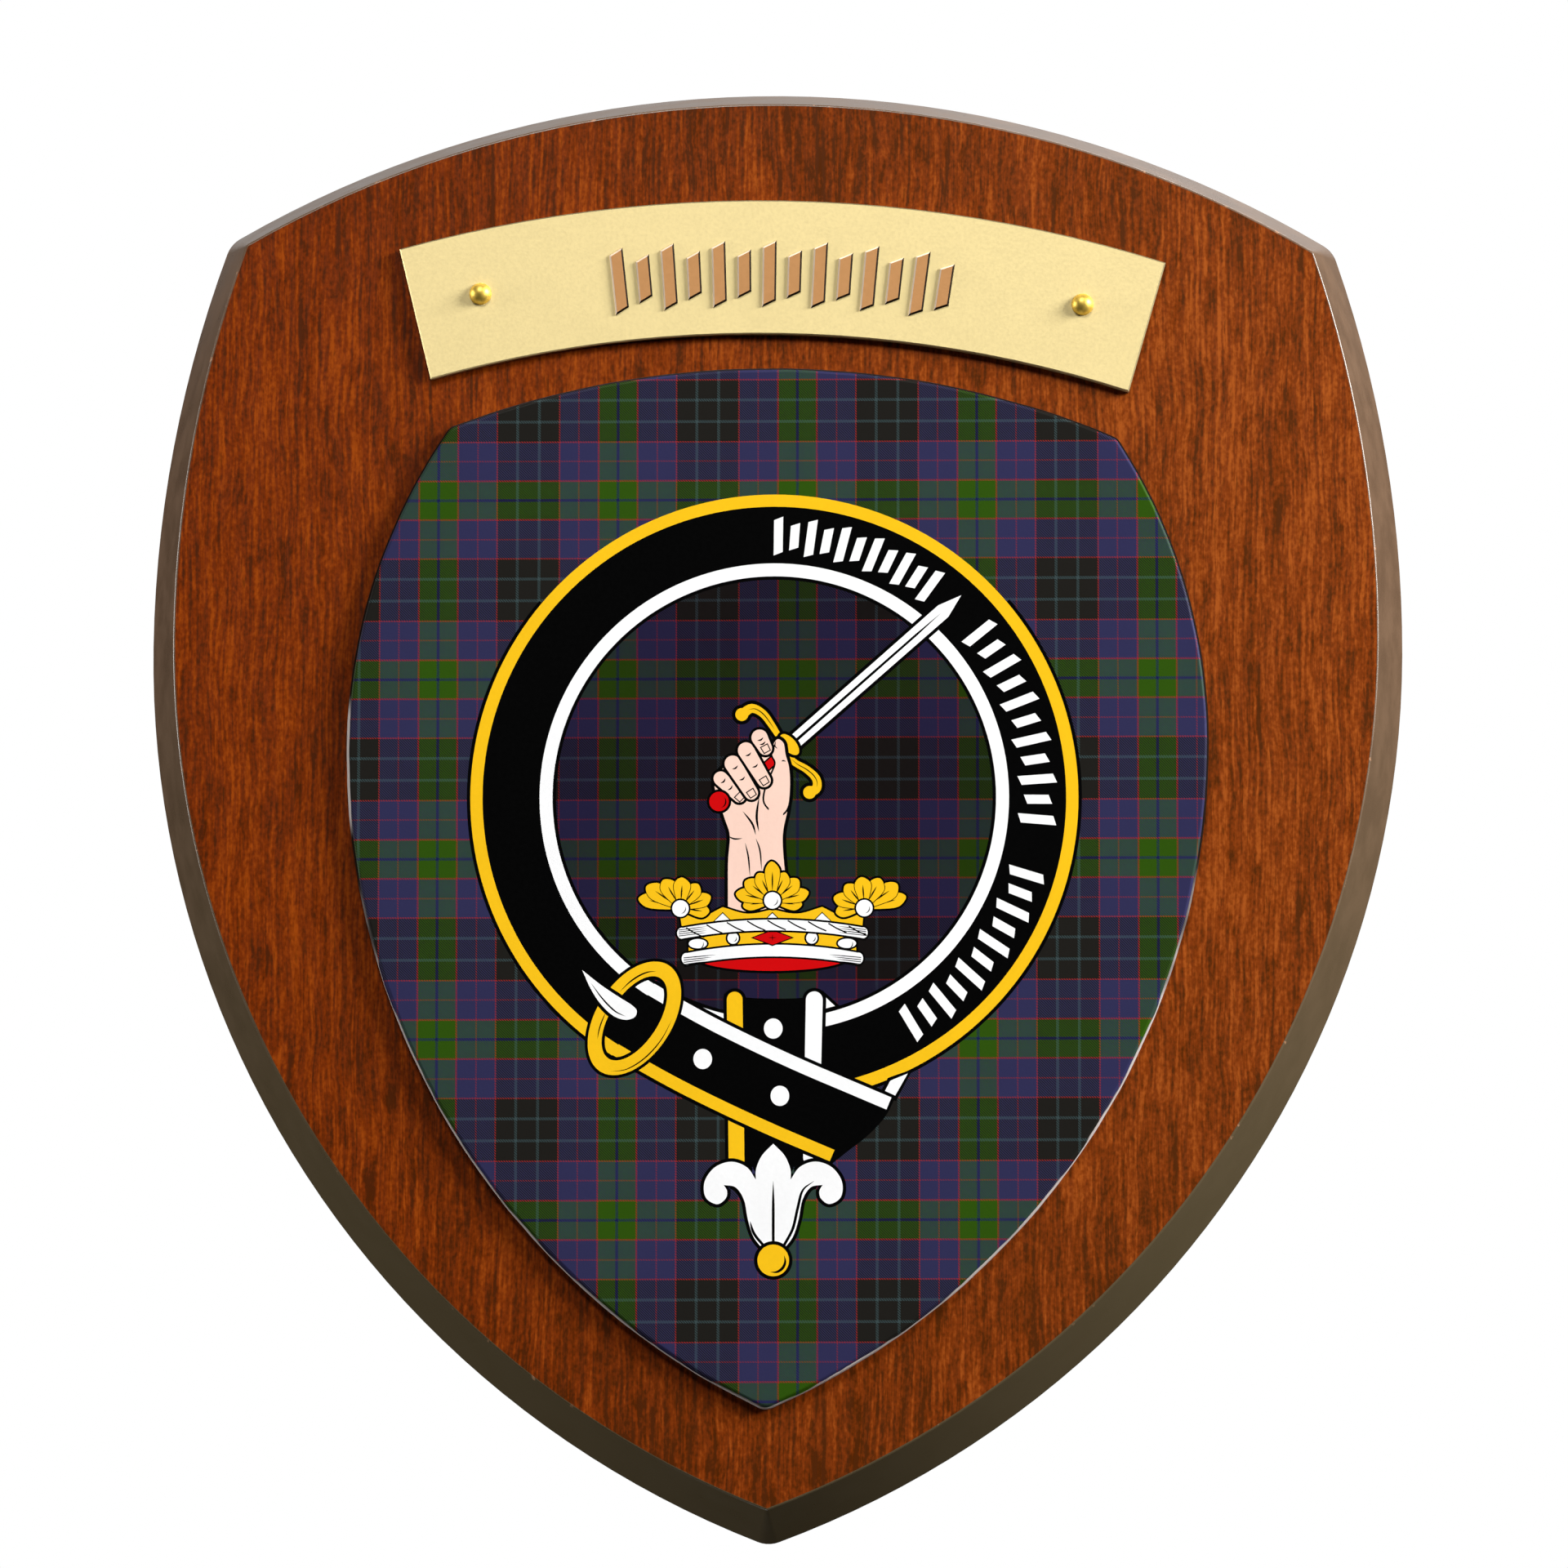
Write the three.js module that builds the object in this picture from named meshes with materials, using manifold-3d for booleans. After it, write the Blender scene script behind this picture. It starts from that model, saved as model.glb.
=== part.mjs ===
// Wooden heraldic shield plaque.
// A veneered shield board carries a smaller printed shield plate and, above it, an arched brass
// nameplate held by two domed pins. A keyhole slot in the back hangs it on a wall.
// Millimetres. The front faces -Y, the back lies on the plane y = 0 and +Z is up.
// The origin is the point of the keyhole slot that rests on the wall's screw.
import * as THREE from 'three';
import { mergeVertices } from 'three/addons/utils/BufferGeometryUtils.js';
import Module from 'manifold-3d';

// Shield board
const boardWidth = 152.5;
const boardHeight = 178;
const boardThickness = 12;
const boardTopRadius = 130;
const boardSideRadius = 148;
const boardWidestDrop = 68.9;
const boardCornerRadius = 3.6;
const boardEdgeLean = 3.2;
const boardBackLand = 0.6;

// Keyhole slot in the board's back
const hangDrop = 28;
const slotHeadWidth = 9.5;
const slotNeckWidth = 5;
const slotTravel = 9;
const slotLip = 2.5;
const slotFloor = 4;

// Printed shield plate, placed from the top of the board
const plateWidth = 103.9;
const plateHeight = 126.3;
const plateThickness = 1.5;
const plateTopRadius = 107.7;
const plateSideRadius = 69.2;
const plateWidestDrop = 46.1;
const plateCornerRadius = 1.6;
const plateEdgeRound = 0.9;
const plateDrop = 36.3;
const plateShift = 0.9;
const plateTiltDegrees = 0.5;

// Arched nameplate, placed from the top of the board
const nameplateTopSpan = 93.2;
const nameplateFootSpan = 84.8;
const nameplateHeight = 16.5;
const nameplateTopRadius = 162;
const nameplateThickness = 1;
const nameplateEdgeBreak = 0.15;
const nameplateDrop = 15.3;
const nameplateShift = 0.45;
const nameplateTiltDegrees = 0.65;

// Raised pen strokes on the nameplate
const strokeCount = 14;
const strokePitch = 3.05;
const strokeWidth = 1.7;
const strokeTall = 7.4;
const strokeShort = 5.2;
const strokeRelief = 0.3;
const strokeRowDrop = 9.1;

// Domed pins
const pinSpacing = 73.2;
const pinDrop = 7.8;
const pinHeadDiameter = 2.7;
const pinHeadHeight = 1.15;
const pinShankDiameter = 1.2;
const pinGrip = 6;
const pinClearance = 0.3;

const curveError = 0.012;
const cutOverrun = 1;
const mergeDistance = 1e-4;

const wasm = await Module();
wasm.setup();

// Curves

// Points along an arc, with its chords within curveError of the true curve.
function arc(centreX, centreY, radius, from, to) {
  const step = 2 * Math.acos(1 - curveError / radius);
  const steps = Math.max(3, Math.ceil(Math.abs(to - from) / step));
  const curve = new THREE.EllipseCurve(centreX, centreY, radius, radius, from, to, to < from);
  return curve.getPoints(steps);
}

// A heater shield seen from the front, its top at (0, 0): a shallow arc across the top, two arcs
// down each side that meet at the widest level, and the same round on both shoulders and the tip.
function shieldOutline({ width, height, topRadius, sideRadius, widestDrop, cornerRadius }) {
  const half = width / 2;
  const below = height - widestDrop;
  const lowerRadius =
    (half ** 2 + below ** 2 - 2 * below * cornerRadius) / (2 * (half - cornerRadius));
  const upperX = half - sideRadius;
  const lowerX = half - lowerRadius;
  const [cornerX, cornerY] = circlesMeet(
    0, -topRadius, topRadius - cornerRadius,
    upperX, -widestDrop, sideRadius - cornerRadius,
  );
  const tipY = cornerRadius - height;
  const topAngle = Math.atan2(cornerY + topRadius, cornerX);
  const sideAngle = Math.atan2(cornerY + widestDrop, cornerX - upperX);
  const tipAngle = Math.atan2(tipY + widestDrop, -lowerX);
  const turn = Math.PI;
  const arcs = [
    arc(lowerX, -widestDrop, lowerRadius, tipAngle, 0),
    arc(upperX, -widestDrop, sideRadius, 0, sideAngle),
    arc(cornerX, cornerY, cornerRadius, sideAngle, topAngle),
    arc(0, -topRadius, topRadius, topAngle, turn - topAngle),
    arc(-cornerX, cornerY, cornerRadius, turn - topAngle, turn - sideAngle),
    arc(-upperX, -widestDrop, sideRadius, turn - sideAngle, turn),
    arc(-lowerX, -widestDrop, lowerRadius, turn, turn - tipAngle),
    arc(0, tipY, cornerRadius, -turn - tipAngle, tipAngle),
  ];
  return arcs.flatMap((points) => points.slice(0, -1));
}

// The right-hand point where two circles cross.
function circlesMeet(x1, y1, radius1, x2, y2, radius2) {
  const gap = Math.hypot(x2 - x1, y2 - y1);
  const along = (radius1 ** 2 - radius2 ** 2 + gap ** 2) / (2 * gap);
  const dirX = (x2 - x1) / gap;
  const dirY = (y2 - y1) / gap;
  const across = Math.sign(dirY) * Math.sqrt(radius1 ** 2 - along ** 2);
  return [x1 + along * dirX + across * dirY, y1 + along * dirY - across * dirX];
}

// The arched strip, its top at (0, 0): two arcs about one centre, joined by straight ends.
function nameplateOutline() {
  const footRadius = nameplateTopRadius - nameplateHeight;
  const topHalf = Math.asin(nameplateTopSpan / 2 / nameplateTopRadius);
  const footHalf = Math.asin(nameplateFootSpan / 2 / footRadius);
  const up = Math.PI / 2;
  return [
    ...arc(0, -nameplateTopRadius, footRadius, up + footHalf, up - footHalf),
    ...arc(0, -nameplateTopRadius, nameplateTopRadius, up - topHalf, up + topHalf),
  ];
}

// A slot with round ends that runs down from (0, 0).
function slotOutline(width, length) {
  const radius = width / 2;
  return [
    ...arc(0, 0, radius, 0, Math.PI),
    ...arc(0, -length, radius, Math.PI, 2 * Math.PI),
  ];
}

// Solids

// A closed geometry as a solid that can be joined and cut.
function toSolid(geometry) {
  const bare = geometry.clone();
  bare.deleteAttribute('normal');
  bare.deleteAttribute('uv');
  const merged = mergeVertices(bare, mergeDistance);
  return new wasm.Manifold(new wasm.Mesh({
    numProp: 3,
    vertProperties: merged.attributes.position.array,
    triVerts: new Uint32Array(merged.index.array),
  }));
}

// A solid's surface as a flat-shaded geometry.
function toGeometry(solid) {
  const surface = solid.getMesh();
  const shared = new THREE.BufferGeometry();
  shared.setAttribute('position', new THREE.BufferAttribute(surface.vertProperties, 3));
  shared.setIndex(new THREE.BufferAttribute(surface.triVerts, 1));
  const geometry = shared.toNonIndexed();
  geometry.computeVertexNormals();
  return geometry;
}

// An outline given depth from the plane y = back towards the front.
function prism(outline, depth, back) {
  const geometry = new THREE.ExtrudeGeometry(new THREE.Shape(outline), {
    depth,
    bevelEnabled: false,
  });
  geometry.rotateX(Math.PI / 2);
  geometry.translate(0, back, 0);
  return geometry;
}

// A slab with its back on y = 0 and its front edge leaning or rounding in by edgeIn over
// edgeDepth. Both faces are given that edge, and the back half is cut off.
function slab(outline, thickness, edgeIn, edgeDepth, edgeSteps) {
  const straight = thickness - edgeDepth;
  const both = new THREE.ExtrudeGeometry(new THREE.Shape(outline), {
    depth: 2 * straight,
    bevelThickness: edgeDepth,
    bevelSize: edgeIn,
    bevelOffset: -edgeIn,
    bevelSegments: edgeSteps,
  });
  both.translate(0, 0, -straight);
  both.rotateX(Math.PI / 2);
  both.computeBoundingBox();
  const size = both.boundingBox.getSize(new THREE.Vector3());
  const centre = both.boundingBox.getCenter(new THREE.Vector3());
  const backHalf = new THREE.BoxGeometry(
    size.x + 2 * cutOverrun, thickness + cutOverrun, size.z + 2 * cutOverrun,
  );
  backHalf.translate(centre.x, (thickness + cutOverrun) / 2, centre.z);
  return toSolid(both).subtract(toSolid(backHalf));
}

// Places shared by several pieces

// The nameplate and its pins share this group, which lies on the board's face.
function makeNameplateGroup() {
  const group = new THREE.Group();
  group.position.set(nameplateShift, -boardThickness, hangDrop - nameplateDrop);
  group.rotation.y = THREE.MathUtils.degToRad(nameplateTiltDegrees);
  group.updateMatrixWorld(true);
  return group;
}

// Where a pin goes through the nameplate, from the top of the strip.
function pinPlace(side) {
  const radius = nameplateTopRadius - pinDrop;
  const x = side * pinSpacing / 2;
  return new THREE.Vector3(x, 0, Math.sqrt(radius ** 2 - x ** 2) - nameplateTopRadius);
}

// A round hole for a pin's shank between two depths.
function pinHole(place, front, back) {
  const radius = pinShankDiameter / 2 + pinClearance;
  const hole = new THREE.CylinderGeometry(radius, radius, back - front, 24);
  hole.translate(place.x, (front + back) / 2, place.z);
  return toSolid(hole);
}

// Pieces

// A wide mouth for the screw's head, a narrow neck above it for the shank and, behind the
// neck's lip, room for the head to slide up.
function keyholeSlot() {
  const depth = boardThickness - slotFloor;
  const mouth = prism(arc(0, -slotTravel, slotHeadWidth / 2, 0, 2 * Math.PI).slice(0, -1),
    depth + cutOverrun, cutOverrun);
  const neck = prism(slotOutline(slotNeckWidth, slotTravel), depth + cutOverrun, cutOverrun);
  const undercut = prism(slotOutline(slotHeadWidth, slotTravel), depth - slotLip, -slotLip);
  return toSolid(mouth).add(toSolid(neck)).add(toSolid(undercut));
}

function makeBoard(nameplateGroup) {
  const outline = shieldOutline({
    width: boardWidth,
    height: boardHeight,
    topRadius: boardTopRadius,
    sideRadius: boardSideRadius,
    widestDrop: boardWidestDrop,
    cornerRadius: boardCornerRadius,
  });
  const raised = outline.map((point) => new THREE.Vector2(point.x, point.y + hangDrop));
  let board = slab(raised, boardThickness, boardEdgeLean, boardThickness - boardBackLand, 1);
  board = board.subtract(keyholeSlot());
  for (const side of [-1, 1]) {
    const place = nameplateGroup.localToWorld(pinPlace(side));
    const holeEnd = -boardThickness + pinGrip + pinClearance;
    board = board.subtract(pinHole(place, -boardThickness - cutOverrun, holeEnd));
  }
  return toGeometry(board);
}

function makePlate() {
  const outline = shieldOutline({
    width: plateWidth,
    height: plateHeight,
    topRadius: plateTopRadius,
    sideRadius: plateSideRadius,
    widestDrop: plateWidestDrop,
    cornerRadius: plateCornerRadius,
  });
  return toGeometry(slab(outline, plateThickness, plateEdgeRound, plateEdgeRound, 4));
}

// One upright pen stroke about (0, 0), with both ends cut on the same slant.
function strokeOutline(height) {
  const halfWidth = strokeWidth / 2;
  const slant = halfWidth / 2;
  return [
    new THREE.Vector2(-halfWidth, -height / 2 - slant),
    new THREE.Vector2(halfWidth, -height / 2 + slant),
    new THREE.Vector2(halfWidth, height / 2 + slant),
    new THREE.Vector2(-halfWidth, height / 2 - slant),
  ];
}

function makeNameplate() {
  let plate = slab(nameplateOutline(), nameplateThickness, nameplateEdgeBreak, nameplateEdgeBreak, 1);
  for (const side of [-1, 1]) {
    const hole = pinHole(pinPlace(side), -nameplateThickness - cutOverrun, cutOverrun);
    plate = plate.subtract(hole);
  }
  const rowRadius = nameplateTopRadius - strokeRowDrop;
  const rooted = nameplateThickness / 2;
  for (let i = 0; i < strokeCount; i += 1) {
    const angle = (i - (strokeCount - 1) / 2) * strokePitch / rowRadius;
    const height = i % 2 === 0 ? strokeTall : strokeShort;
    const stroke = prism(strokeOutline(height), rooted + strokeRelief, rooted - nameplateThickness);
    stroke.translate(0, 0, rowRadius);
    stroke.rotateY(angle);
    stroke.translate(0, 0, -nameplateTopRadius);
    plate = plate.add(toSolid(stroke));
  }
  return toGeometry(plate);
}

// A domed head on a straight shank with a pointed end. The underside of the head is at y = 0.
function makePin() {
  const headRadius = pinHeadDiameter / 2;
  const domeRadius = (headRadius ** 2 + pinHeadHeight ** 2) / (2 * pinHeadHeight);
  const domeCentre = pinHeadHeight - domeRadius;
  const rimAngle = Math.atan2(-domeCentre, headRadius);
  const shankRadius = pinShankDiameter / 2;
  const shankEnd = -nameplateThickness - pinGrip;
  const profile = [
    new THREE.Vector2(0, shankEnd),
    new THREE.Vector2(shankRadius, shankEnd + 2 * shankRadius),
    new THREE.Vector2(shankRadius, 0),
    ...new THREE.EllipseCurve(0, domeCentre, domeRadius, domeRadius, rimAngle, Math.PI / 2)
      .getPoints(8).slice(0, -1),
    new THREE.Vector2(0, pinHeadHeight),
  ];
  const pin = new THREE.LatheGeometry(profile, 24);
  pin.rotateX(Math.PI);
  return pin;
}

function material(color, roughness, metalness) {
  return new THREE.MeshStandardMaterial({ color, roughness, metalness });
}

function namedMesh(name, geometry, finish) {
  const mesh = new THREE.Mesh(geometry, finish);
  mesh.name = name;
  return mesh;
}

// The plaque

const plaque = new THREE.Group();
const nameplateGroup = makeNameplateGroup();

plaque.add(namedMesh('shield_board', makeBoard(nameplateGroup), material(0x7d3410, 0.45, 0)));

const plate = namedMesh('tartan_plate', makePlate(), material(0x2b3a33, 0.5, 0));
plate.position.set(plateShift, -boardThickness, hangDrop - plateDrop);
plate.rotation.y = THREE.MathUtils.degToRad(plateTiltDegrees);
plaque.add(plate);

nameplateGroup.add(namedMesh('nameplate', makeNameplate(), material(0xf0dc98, 0.4, 0.7)));
for (const [name, side] of [['pin_left', -1], ['pin_right', 1]]) {
  const pin = namedMesh(name, makePin(), material(0xd9b233, 0.2, 0.9));
  pin.position.copy(pinPlace(side));
  pin.position.y = -nameplateThickness;
  nameplateGroup.add(pin);
}
plaque.add(nameplateGroup);

export default plaque;
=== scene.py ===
"""Wooden heraldic shield plaque: the finish of the board, the printed plate, the brass strip and pins."""

import math

import bmesh
import bpy
from bpy.props import FloatProperty, FloatVectorProperty, IntProperty, PointerProperty
from mathutils import Matrix, Vector, noise
from mathutils.geometry import delaunay_2d_cdt


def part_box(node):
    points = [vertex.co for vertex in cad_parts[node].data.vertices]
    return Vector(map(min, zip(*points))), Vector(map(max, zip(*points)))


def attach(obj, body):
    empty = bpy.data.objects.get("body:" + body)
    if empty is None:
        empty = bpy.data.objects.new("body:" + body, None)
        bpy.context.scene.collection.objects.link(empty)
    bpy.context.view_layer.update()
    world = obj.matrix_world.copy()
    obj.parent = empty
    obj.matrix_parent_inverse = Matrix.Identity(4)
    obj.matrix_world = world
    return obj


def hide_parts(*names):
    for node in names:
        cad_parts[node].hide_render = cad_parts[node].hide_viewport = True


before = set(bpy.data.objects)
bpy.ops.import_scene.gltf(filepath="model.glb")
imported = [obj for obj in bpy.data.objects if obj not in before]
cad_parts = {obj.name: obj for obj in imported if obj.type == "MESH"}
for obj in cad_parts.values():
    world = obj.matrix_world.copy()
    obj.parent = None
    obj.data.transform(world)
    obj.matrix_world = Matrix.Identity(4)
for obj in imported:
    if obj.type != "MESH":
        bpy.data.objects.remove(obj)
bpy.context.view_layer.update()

bl_info = {
    "name": "Shield Plaque",
    "version": (1, 0, 0),
    "blender": (4, 5, 0),
    "location": "View3D > Sidebar > Plaque",
    "description": "Finishes a veneered wooden shield plaque with a printed plate and a brass strip",
    "category": "Object",
}

MM = 0.001
BODY = "root"

# Points nearer than this count as level with each other, or as the same point.
LEVEL = 0.001 * MM
TOUCHING = 0.002 * MM

# The printed sword's place in millimetres from the badge's middle, and its slope in degrees.
SWORD_HILT = (1.3, 5.84)
SWORD_AIM = 41.28

board_low, board_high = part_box("shield_board")
plate_low, plate_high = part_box("tartan_plate")
strip_low, strip_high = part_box("nameplate")


# Settings

def length(name, text, millimetres):
    """A size in the sidebar. Blender keeps it in metres."""
    return FloatProperty(
        name=name, description=text, default=millimetres * MM, precision=5, unit="LENGTH"
    )


def angle(name, text, degrees):
    return FloatProperty(
        name=name, description=text, default=math.radians(degrees), precision=3, subtype="ANGLE"
    )


def colour(name, text, rgb):
    return FloatVectorProperty(
        name=name, description=text, default=rgb, size=3, min=0, max=1, subtype="COLOR"
    )


class BoardSettings(bpy.types.PropertyGroup):
    """The veneered board."""

    arris: length("Arris", "Width of the soft break along the front edge", 0.35)
    veneer_dark: colour("Dark figure", "Darkest streaks of the veneer", (0.080, 0.018, 0.001))
    veneer_mid: colour("Veneer", "Main colour of the veneer", (0.200, 0.035, 0.003))
    veneer_light: colour("Light figure", "Lightest streaks of the veneer", (0.360, 0.080, 0.010))
    edge_paint: colour("Edge paint", "Paint on the sloping edge", (0.130, 0.077, 0.045))
    # Darker paint towards the tip is painted shade on the lower edge.
    edge_paint_painted_shade: colour("Edge paint, low", "Paint on the edge towards the tip", (0.088, 0.066, 0.034))
    back_stain: colour("Back", "Stain on the back", (0.235, 0.125, 0.062))
    raw_wood: colour("Bare wood", "Wood inside the slot and the pin holes", (0.42, 0.27, 0.14))


class PlateSettings(bpy.types.PropertyGroup):
    """The printed shield plate."""

    top_radius: length("Top radius", "Radius of the top edge", 107.7)
    side_radius: length("Side radius", "Radius of the upper sides", 69.2)
    widest_drop: length("Widest level", "Depth of the widest level below the top", 46.1)
    corner_radius: length("Corners", "Round on the shoulders and the tip", 1.6)
    edge_round: length("Edge round", "How far the printed face rolls over at its edge", 0.6)
    foot: length("Bare rim", "Width of the bare rim below the print", 0.22)
    spread: length("Spread", "How far the trimmed plate goes past its core", 0.24)
    shift_x: length("Shift, across", "How far the plate is fixed to the right", -0.10)
    shift_z: length("Shift, up", "How far the plate is fixed upward", 0.10)
    waviness: length("Waviness", "How far the trimmed edge wanders", 0.09)
    tilt: angle("Tilt", "Clockwise turn of the plate on the board", 0.5)
    rim: colour("Rim", "Bare edge of the plate", (0.50, 0.45, 0.42))
    # The gap colour is painted shade: a dark line along the plate's upper edge.
    gap: colour("Gap", "Dark line round the upper edge of the plate", (0.010, 0.006, 0.004))


class TartanSettings(bpy.types.PropertyGroup):
    """The tartan print."""

    repeat: length("Repeat", "Width of one repeat of the sett", 21.76)
    green_x: length("Green stripe", "A green stripe's middle, right of the badge's middle", 2.73)
    green_z: length("Green band", "A green band's middle, above the badge's middle", -7.33)
    twill: length("Twill", "Width of one twill line", 0.31)
    green: colour("Green", "Green yarn", (0.024, 0.073, 0.003))
    blue: colour("Blue", "Blue yarn", (0.026, 0.025, 0.076))
    black: colour("Black", "Black yarn", (0.012, 0.011, 0.009))
    navy: colour("Navy", "Fine line through the green", (0.008, 0.011, 0.066))
    red: colour("Red", "Fine lines at the blocks' edges", (0.25, 0.018, 0.020))
    sky: colour("Light blue", "Fine double lines through the black", (0.036, 0.060, 0.062))


class BadgeSettings(bpy.types.PropertyGroup):
    """The strap-and-buckle badge printed on the tartan."""

    centre_x: length("Middle, across", "Badge's middle, right of the plaque's middle line", 0.15)
    centre_z: length("Middle, up", "Badge's middle, above the hanging point", -60.74)
    stretch: FloatProperty(name="Stretch", description="Upright stretch of the print", default=1.0075)
    turn: angle("Turn", "Anticlockwise turn of the print on the board", 0.57)
    strap_radius: length("Strap radius", "Radius of the strap's outer edge", 36.75)
    strap_width: length("Strap width", "Width of the strap", 9.95)
    gold_band: length("Gold band", "Width of the strap's gold edge", 1.48)
    white_band: length("White band", "Width of the strap's white edge", 1.57)
    pen: length("Outline", "Width of the black outlines", 0.42)
    strap_strokes: IntProperty(
        name="Strokes", description="Strokes in each of the three groups along the strap", default=11
    )
    gold: colour("Gold", "Gold ink", (0.87, 0.50, 0.010))
    white: colour("White", "White ink", (0.90, 0.90, 0.90))
    black: colour("Black", "Black ink", (0.001, 0.001, 0.001))
    red: colour("Red", "Red ink", (0.58, 0.003, 0.004))
    skin: colour("Skin", "Skin-coloured ink", (0.90, 0.62, 0.51))


class StripSettings(bpy.types.PropertyGroup):
    """The brass strip with its raised strokes, and the pins."""

    stroke_bevel: length("Stroke bevel", "Bevel round the raised strokes", 0.21)
    pin_head: length("Pin head", "Diameter of a pin's head", 2.7)
    pin_rise: length("Pin rise", "Height of a pin's head", 1.15)
    brass: colour("Brass", "Satin brass of the strip", (0.89, 0.72, 0.335))
    bronze: colour("Bronze", "Face of the raised strokes", (0.56, 0.27, 0.095))
    # Painted highlight on the strokes' left edges and painted shade on their right and lower edges.
    stroke_painted_highlight: colour("Lit edges", "Left edges of the strokes", (0.90, 0.72, 0.55))
    stroke_dark: colour("Dark edges", "Right and lower edges of the strokes", (0.010, 0.005, 0.002))
    pin_brass: colour("Pin brass", "Polished brass of the pins", (0.82, 0.56, 0.10))


class StudioSettings(bpy.types.PropertyGroup):
    """Camera, floor and lights."""

    camera_distance: length("Camera distance", "From the camera to the point it looks at", 1494)
    focal_length: FloatProperty(name="Lens", description="Focal length in mm", default=281.25)
    aim_x: length("Aim, across", "Point the camera looks at, right of the middle line", 0.97)
    aim_z: length("Aim, up", "Point the camera looks at, above the hanging point", -57.2)
    camera_yaw: angle("Yaw", "How far the camera stands to the left", 1.12)
    camera_pitch: angle("Pitch", "How far the camera looks up", 7.78)
    camera_roll: angle("Roll", "How far the camera is rolled", 0.57)
    floor_drop: length("Floor", "Floor below the plaque", 700)
    floor_colour: colour("Floor", "Colour of the floor", (0.80, 0.80, 0.80))


# Materials

class Wire:
    """A number that varies over a surface. Arithmetic on wires adds Math nodes."""

    def __init__(self, finish, socket):
        self.finish = finish
        self.socket = socket

    def math(self, operation, *values):
        return self.finish.node("ShaderNodeMath", {"operation": operation}, dict(enumerate(values)))

    def __add__(self, other):
        return self.math("ADD", self, other)

    def __radd__(self, other):
        return self.math("ADD", other, self)

    def __sub__(self, other):
        return self.math("SUBTRACT", self, other)

    def __rsub__(self, other):
        return self.math("SUBTRACT", other, self)

    def __mul__(self, other):
        return self.math("MULTIPLY", self, other)

    def __truediv__(self, other):
        return self.math("DIVIDE", self, other)


class Finish:
    """One material. node() adds any node, and the other methods are short forms of it."""

    def __init__(self, name, **fixed):
        self.material = bpy.data.materials.new(name)
        self.material.use_nodes = True
        self.tree = self.material.node_tree
        self.shader = self.tree.nodes["Principled BSDF"]
        for socket, value in fixed.items():
            self.shader.inputs[socket.replace("_", " ")].default_value = value

    def node(self, kind, settings=(), inputs=(), output=0):
        node = self.tree.nodes.new(kind)
        for name, value in dict(settings).items():
            if name == "stops":
                self.set_stops(node.color_ramp, value)
            elif name == "steps":
                node.color_ramp.interpolation = "CONSTANT" if value else "LINEAR"
            else:
                setattr(node, name, value)
        for name, value in dict(inputs).items():
            self.feed(node.inputs[name], value)
        return Wire(self, node.outputs[output])

    def set_stops(self, ramp, stops):
        while len(ramp.elements) < len(stops):
            ramp.elements.new(0.5)
        for element, (place, tint) in zip(ramp.elements, stops):
            element.position = place
            element.color = (*tint, 1)

    def feed(self, socket, value):
        if isinstance(value, Wire):
            self.tree.links.new(value.socket, socket)
        elif socket.type == "RGBA":
            socket.default_value = (*value, 1)
        else:
            socket.default_value = value

    def set(self, **inputs):
        for name, value in inputs.items():
            self.feed(self.shader.inputs[name.replace("_", " ")], value)

    def place(self, origin=(0, 0, 0), turn=(0, 0, 0), cell=(MM, MM, MM)):
        """Object coordinates from an origin, turned, in cells of the given size."""
        here = self.node("ShaderNodeTexCoord", output="Object")
        return self.node("ShaderNodeMapping", {"vector_type": "TEXTURE"}, {
            "Vector": here, "Location": origin, "Rotation": turn, "Scale": cell,
        })

    def split(self, vector):
        return [self.node("ShaderNodeSeparateXYZ", (), {0: vector}, axis) for axis in range(3)]

    def join(self, x, y, z):
        return self.node("ShaderNodeCombineXYZ", (), {0: x, 1: y, 2: z})

    def noise(self, vector, detail=2, roughness=0.5):
        return self.node("ShaderNodeTexNoise", (), {
            "Vector": vector, "Scale": 1, "Detail": detail, "Roughness": roughness,
        })

    def span(self, value, low, high, to_low=0, to_high=1):
        """The value's way from low to high as a number from to_low to to_high."""
        return self.node("ShaderNodeMapRange", {"interpolation_type": "SMOOTHSTEP"}, {
            "Value": value, "From Min": low, "From Max": high, "To Min": to_low, "To Max": to_high,
        })

    def mix(self, factor, below, above, blend="MIX"):
        settings = {"data_type": "RGBA", "blend_type": blend}
        return self.node("ShaderNodeMix", settings, {0: factor, 6: below, 7: above}, 2)

    def ramp(self, value, stops, steps=False):
        return self.node("ShaderNodeValToRGB", {"steps": steps, "stops": stops}, {0: value})

    def bump(self, height, distance):
        return self.node("ShaderNodeBump", (), {"Height": height, "Distance": distance, "Strength": 1})


def shade(rgb, factor):
    return tuple(channel * factor for channel in rgb)


def blend(a, b, share):
    return tuple(p + (q - p) * share for p, q in zip(a, b))


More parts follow.
